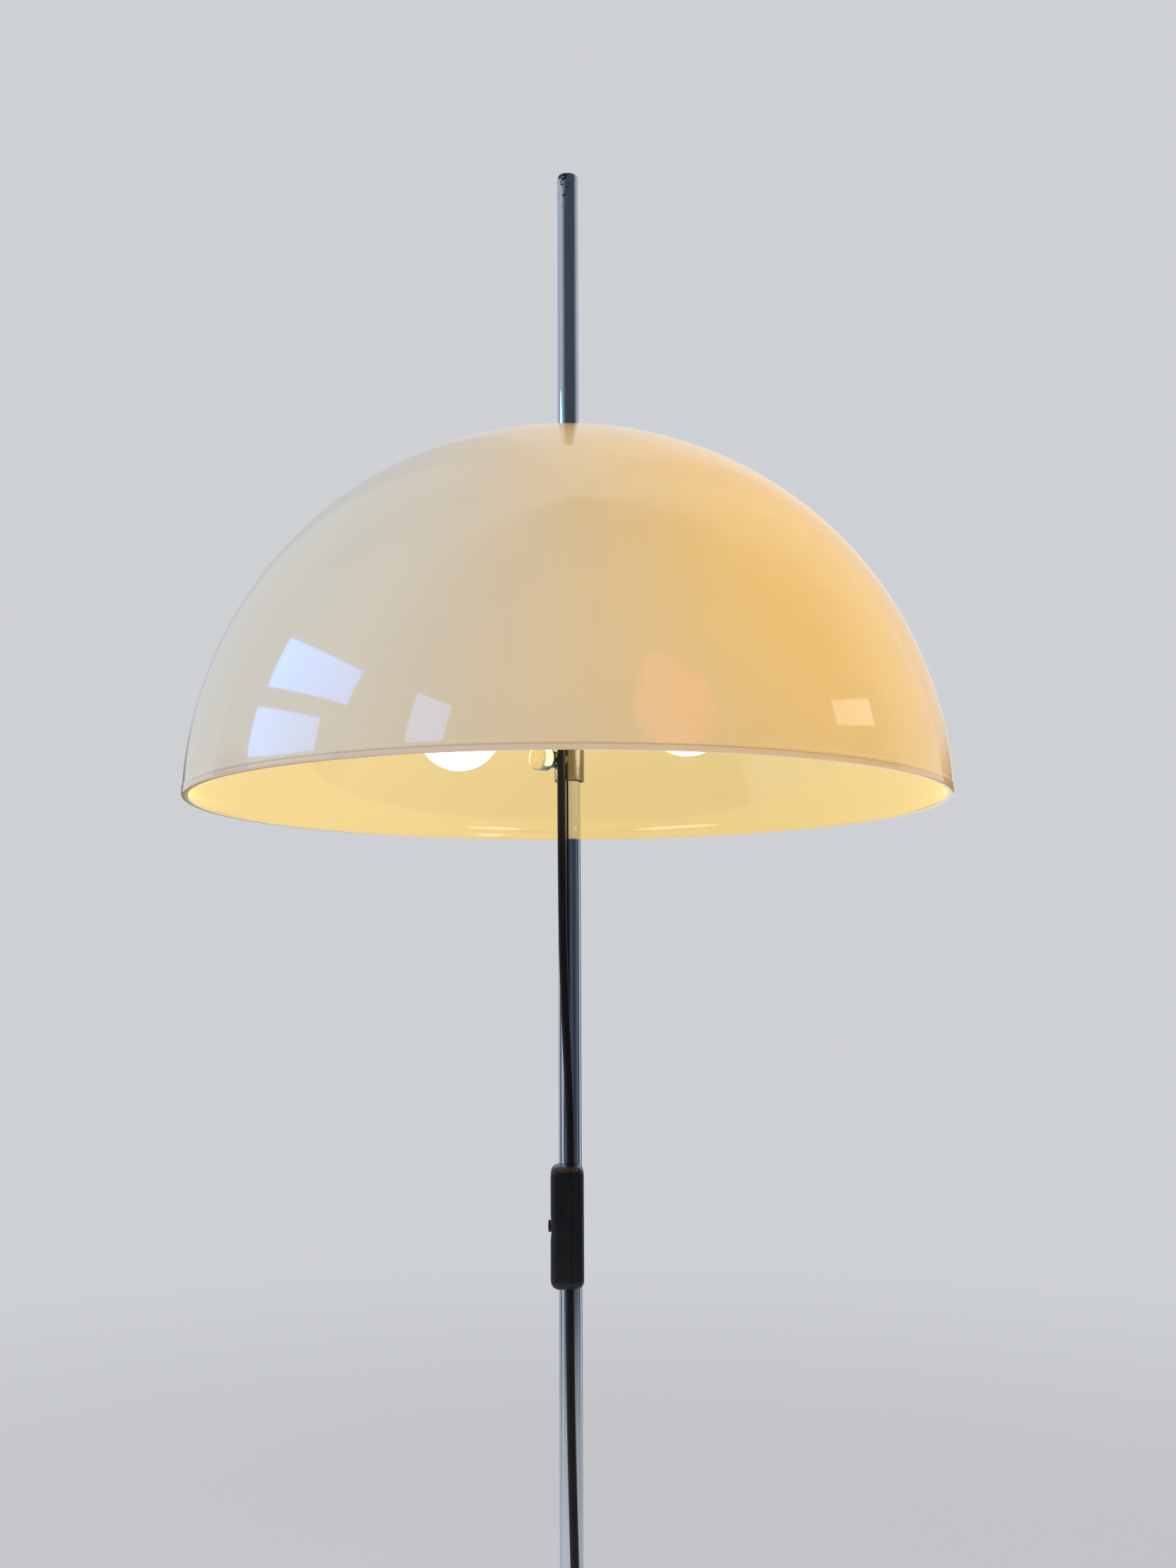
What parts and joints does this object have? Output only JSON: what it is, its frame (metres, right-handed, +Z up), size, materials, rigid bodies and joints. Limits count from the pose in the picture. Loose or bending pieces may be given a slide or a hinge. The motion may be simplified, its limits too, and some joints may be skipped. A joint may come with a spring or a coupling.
{
  "type": "mushroom floor lamp",
  "caption": "Floor lamp with an opal dome shade that slides and turns on a chromed pole, a knurled thumb screw, two bulbs, a cord switch and a round weighted foot.",
  "frame": {"origin": "on the floor, under the middle of the round foot and the pole", "axes": "+Z up along the pole, -Y the side where the cord and its switch hang"},
  "size_m": [0.5, 0.5, 1.5],
  "materials": {
    "felt": "matt dense felt",
    "cast_iron": "rough as cast, painted black",
    "chrome": "polished chrome plating with fine scratches",
    "zinc_steel": "zinc plated",
    "cord_black": "smooth black cord sheath, half gloss",
    "black_plastic": "moulded black plastic, half gloss",
    "pin_nickel": "nickel plated",
    "bush_nylon": "natural nylon",
    "contact_brass": "bare brass",
    "satin_nickel": "satin nickel, a little tarnished",
    "knob_nickel": "turned and nickel plated",
    "opal_acrylic": "glossy opal acrylic",
    "washer_rubber": "matt",
    "lead_sleeve": "matt white sleeve",
    "holder_black": "phenolic moulding, half gloss",
    "porcelain": "glazed porcelain",
    "lamp_glass": "opal lamp glass, lit",
    "lamp_cap": "pressed thread"
  },
  "bodies": {
    "stand": {"base_pad": "felt", "base_weight": "cast_iron", "base_cover": "chrome", "pole_ferrule": "chrome", "bolt_washer": "zinc_steel", "pole_bolt": "zinc_steel", "pole": "chrome", "pole_foot_plug": "zinc_steel", "pole_top_plug": "black_plastic", "cord_lower": "cord_black", "cord_floor": "cord_black", "cord_coil": "cord_black", "cord_tail": "cord_black", "plug_body": "black_plastic", "plug_pins": "pin_nickel", "plug_relief": "cord_black"},
    "lift": {"bush_lower": "bush_nylon", "bush_upper": "bush_nylon", "switch_front_shell": "black_plastic", "switch_back_shell": "black_plastic", "switch_carrier": "black_plastic", "switch_contacts": "contact_brass", "switch_screws": "zinc_steel", "switch_spring": "zinc_steel"},
    "button": {"switch_button": "black_plastic"},
    "head": {"sleeve": "satin_nickel", "shade": "opal_acrylic", "shade_flange": "satin_nickel", "shade_washer_lower": "washer_rubber", "shade_washer_upper": "washer_rubber", "shade_ring_nut": "satin_nickel", "socket_hub": "satin_nickel", "hub_lid": "satin_nickel", "lid_screws": "zinc_steel", "terminal_block": "bush_nylon", "cord_gland": "cord_black", "cord_upper": "cord_black", "lead_left": "lead_sleeve", "lead_right": "lead_sleeve", "nipple_left": "zinc_steel", "nipple_right": "zinc_steel", "nipple_nut_left": "zinc_steel", "nipple_nut_right": "zinc_steel", "holder_cap_left": "holder_black", "holder_cap_right": "holder_black", "holder_shell_left": "holder_black", "holder_shell_right": "holder_black", "holder_insert_left": "porcelain", "holder_insert_right": "porcelain", "bulb_glass_left": "lamp_glass", "bulb_glass_right": "lamp_glass", "bulb_cap_left": "lamp_cap", "bulb_cap_right": "lamp_cap"},
    "clamp_pad": {"clamp_pad": "contact_brass"},
    "thumb_screw": {"thumb_screw": "knob_nickel"}
  },
  "joints": [
    {"name": "height_slide", "type": "slide", "parent": "stand", "child": "lift", "axis": [0, 0, 1], "range_m": [-0.44, 0.18], "deforming": ["cord_lower"]},
    {"name": "shade_swivel", "type": "hinge", "parent": "lift", "child": "head", "pos_m": [0, 0, 1.045], "axis": [0, 0, 1], "range_deg": [-170, 170]},
    {"name": "switch_press", "type": "slide", "parent": "lift", "child": "button", "axis": [1, 0, 0], "range_m": [0, 0.0017], "stiffness_N_per_m": 1200, "springref_m": -0.001, "deforming": ["switch_spring"]},
    {"name": "clamp_pad_travel", "type": "slide", "parent": "head", "child": "clamp_pad", "axis": [-0.7431, -0.6691, 0], "range_m": [0, 0.0015]},
    {"name": "thumb_screw_turn", "type": "hinge", "parent": "clamp_pad", "child": "thumb_screw", "pos_m": [0, 0, 1.0762], "axis": [-0.7431, -0.6691, 0], "range_deg": [0, 540]}
  ],
  "couplings": [
    {"joint": "thumb_screw_turn", "follows": "clamp_pad_travel", "rad_per_m": 6283.2}
  ]
}
